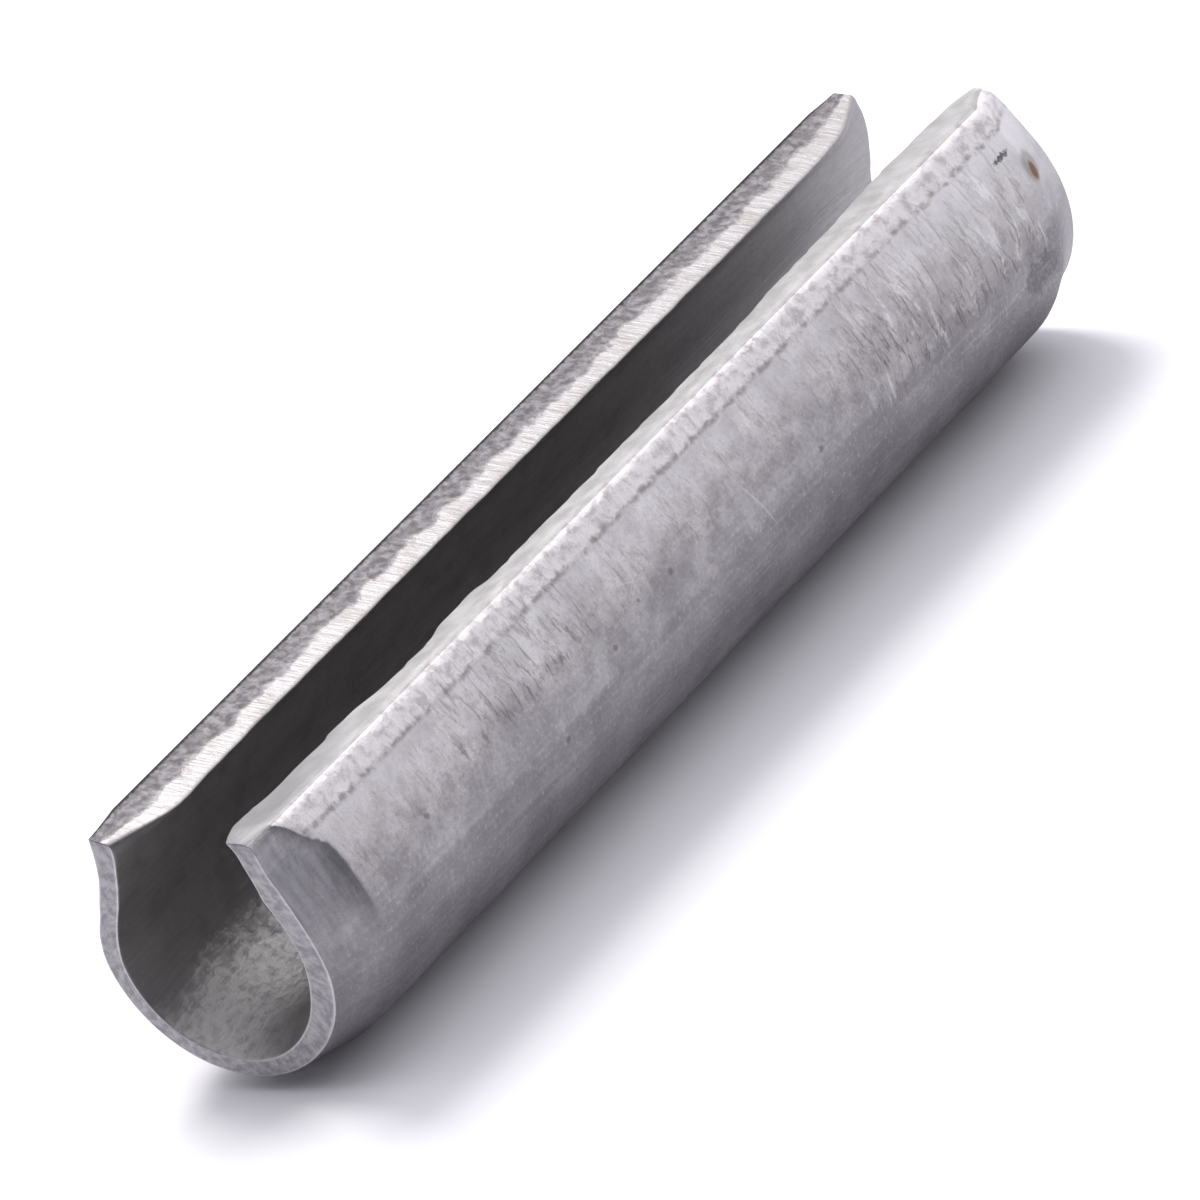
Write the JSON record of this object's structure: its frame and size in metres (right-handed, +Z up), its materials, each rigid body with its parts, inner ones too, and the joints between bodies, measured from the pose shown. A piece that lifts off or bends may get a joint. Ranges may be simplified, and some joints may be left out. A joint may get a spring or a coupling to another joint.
{
  "type": "slotted spring pin",
  "caption": "Straight slotted spring pin with an open slot along its whole length and tapered ends, lying on its side with the slot up.",
  "frame": {"origin": "under the middle of the pin, on the surface that it lies on", "axes": "+Y along the pin, from the near end to the far end; +Z up through the slot"},
  "size_m": [0.0086, 0.04, 0.008],
  "materials": {
    "steel": "dull bare steel with drag marks and light stains"
  },
  "bodies": {
    "root": {"spring_pin": "steel"}
  },
  "joints": []
}
